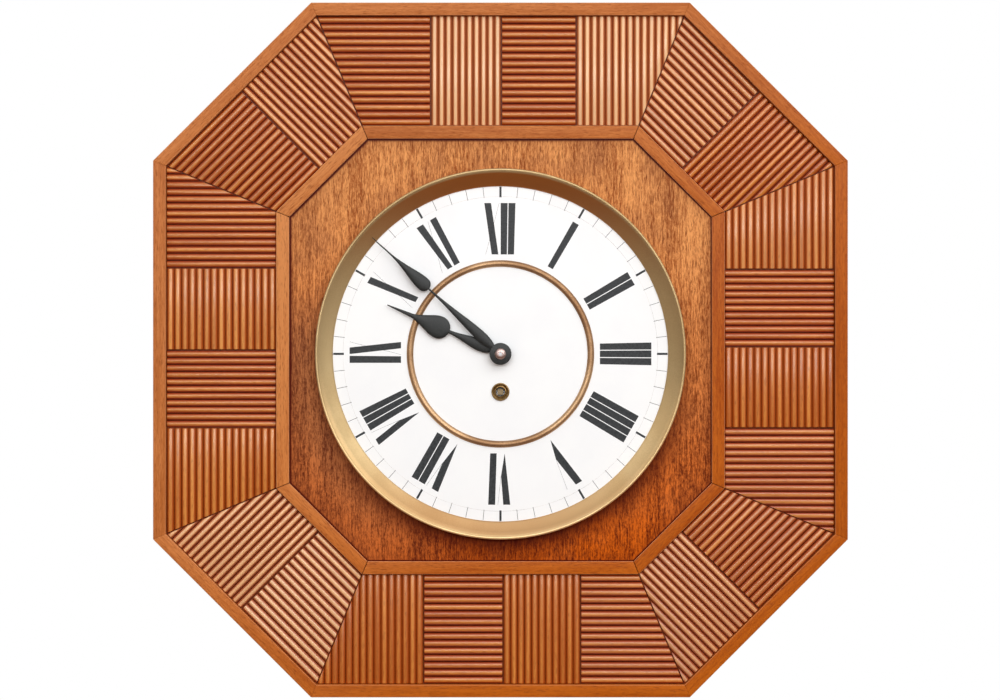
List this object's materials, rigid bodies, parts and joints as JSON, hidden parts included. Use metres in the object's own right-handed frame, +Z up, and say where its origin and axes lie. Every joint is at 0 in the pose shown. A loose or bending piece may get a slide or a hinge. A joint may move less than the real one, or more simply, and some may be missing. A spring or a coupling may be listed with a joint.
{
  "type": "wall clock",
  "caption": "Octagonal wall clock with a reeded wooden front, a round white dial with Roman numerals, pear hands and a spring driven movement with a short pendulum.",
  "frame": {"origin": "on the wall face of the back panel, in the middle of the octagon", "axes": "+Z up, +X to the right seen from the front, +Y into the wall; the dial faces -Y"},
  "size_m": [0.61, 0.097, 0.61],
  "materials": {
    "outer_wood": "satin varnished mahogany veneer, ribbon figure",
    "reed_wood": "satin varnished mahogany reeds",
    "strip_wood": "satin varnished mahogany",
    "panel_wood": "satin varnished mahogany veneer with open pores",
    "base_wood": "stained softwood",
    "back_wood": "plain unvarnished wood",
    "enamel": "gloss white fired enamel with charcoal numerals",
    "aged_brass": "darkened brass",
    "brass": "satin brass",
    "steel": "ground steel",
    "blued_steel": "blued steel",
    "black_steel": "matte black"
  },
  "bodies": {
    "case": {"case_sides_straight": "outer_wood", "case_sides_corner": "outer_wood", "inner_frame": "strip_wood", "base_board": "base_wood", "centre_panel": "panel_wood", "back_panel": "back_wood", "hanger_plate": "brass", "corner_blocks": "back_wood", "back_screws": "steel", "dial_plate": "brass", "chapter_ring": "enamel", "centre_disc": "enamel", "dial_ring": "aged_brass", "bezel": "aged_brass", "bezel_nuts": "brass", "winding_grommet": "aged_brass", "front_plate": "brass", "back_plate": "brass", "pillars": "brass", "plate_screws": "blued_steel", "mounting_bars": "steel", "movement_screws": "blued_steel", "click_spring": "blued_steel", "back_cock": "brass", "click_screw": "blued_steel", "reeds_top": "reed_wood", "reeds_top_right": "reed_wood", "reeds_right": "reed_wood", "reeds_bottom_right": "reed_wood", "reeds_bottom": "reed_wood", "reeds_bottom_left": "reed_wood", "reeds_left": "reed_wood", "reeds_top_left": "reed_wood"},
    "minute_train": {"minute_hand": "black_steel", "hand_nut": "steel", "cannon_pinion": "steel", "centre_arbor": "steel", "centre_wheel": "brass"},
    "motion_wheel": {"minute_wheel": "brass"},
    "hour_train": {"hour_wheel": "brass", "hour_hand": "black_steel"},
    "second_train": {"second_wheel": "brass", "second_arbor": "steel"},
    "barrel_drum": {"barrel": "brass", "barrel_cap": "brass", "mainspring": "blued_steel"},
    "third_train": {"third_wheel": "brass", "third_arbor": "steel"},
    "escape_train": {"escape_wheel": "brass", "escape_arbor": "steel"},
    "pallets": {"pallet_anchor": "steel", "pallet_arbor": "steel", "crutch": "steel"},
    "pendulum": {"suspension": "brass", "pendulum_rod": "brass"},
    "bob": {"pendulum_bob": "brass"},
    "nut": {"rating_nut": "brass"},
    "winding_arbor": {"barrel_arbor": "steel", "ratchet_wheel": "steel"},
    "click_arm": {"click": "steel"}
  },
  "joints": [
    {"name": "minute_hand_turn", "type": "hinge", "parent": "case", "child": "minute_train", "pos_m": [0, -0.055, -0.0034], "axis": [0, 1, 0], "continuous": true},
    {"name": "motion_wheel_turn", "type": "hinge", "parent": "case", "child": "motion_wheel", "pos_m": [0.01188, -0.055, 0.00848], "axis": [0, 1, 0], "continuous": true},
    {"name": "hour_hand_turn", "type": "hinge", "parent": "case", "child": "hour_train", "pos_m": [0, -0.055, -0.0034], "axis": [0, 1, 0], "continuous": true},
    {"name": "second_wheel_turn", "type": "hinge", "parent": "case", "child": "second_train", "pos_m": [0.0225, -0.055, -0.01475], "axis": [0, 1, 0], "continuous": true},
    {"name": "barrel_turn", "type": "hinge", "parent": "case", "child": "barrel_drum", "pos_m": [0, -0.055, -0.0368], "axis": [0, 1, 0], "continuous": true},
    {"name": "third_wheel_turn", "type": "hinge", "parent": "case", "child": "third_train", "pos_m": [-0.01551, -0.055, 0.01358], "axis": [0, 1, 0], "continuous": true},
    {"name": "escape_wheel_turn", "type": "hinge", "parent": "case", "child": "escape_train", "pos_m": [0, -0.055, 0.02589], "axis": [0, 1, 0], "continuous": true},
    {"name": "pendulum_swing", "type": "hinge", "parent": "case", "child": "pendulum", "pos_m": [0, -0.02, 0.04711], "axis": [0, 1, 0], "range_deg": [-3, 3]},
    {"name": "pallet_rock", "type": "hinge", "parent": "case", "child": "pallets", "pos_m": [0, -0.04, 0.04711], "axis": [0, 1, 0], "range_deg": [-3, 3]},
    {"name": "rating_nut_turn", "type": "hinge", "parent": "bob", "child": "nut", "pos_m": [0, -0.02025, -0.20789], "axis": [0, 0, 1], "range_deg": [-2060, 2060]},
    {"name": "bob_slide", "type": "slide", "parent": "pendulum", "child": "bob", "axis": [0, 0, 1], "range_m": [-0.004, 0.004]},
    {"name": "winding_turn", "type": "hinge", "parent": "case", "child": "winding_arbor", "pos_m": [0, -0.055, -0.0368], "axis": [0, 1, 0], "range_deg": [0, 2160]},
    {"name": "click_lift", "type": "hinge", "parent": "case", "child": "click_arm", "pos_m": [0.01522, -0.074, -0.04174], "axis": [0, -1, 0], "range_deg": [0, 8], "stiffness_Nm_per_rad": 0.02, "springref_deg": -11.46, "deforming": ["click_spring"]}
  ],
  "couplings": [
    {"joint": "motion_wheel_turn", "follows": "minute_hand_turn", "ratio": -0.33333},
    {"joint": "hour_hand_turn", "follows": "minute_hand_turn", "ratio": 0.083333},
    {"joint": "second_wheel_turn", "follows": "minute_hand_turn", "ratio": -0.16667},
    {"joint": "barrel_turn", "follows": "minute_hand_turn", "ratio": 0.025641},
    {"joint": "third_wheel_turn", "follows": "minute_hand_turn", "ratio": -10.5},
    {"joint": "escape_wheel_turn", "follows": "minute_hand_turn", "ratio": 105},
    {"joint": "pallet_rock", "follows": "pendulum_swing", "ratio": 1},
    {"joint": "rating_nut_turn", "follows": "bob_slide", "rad_per_m": 8976}
  ]
}
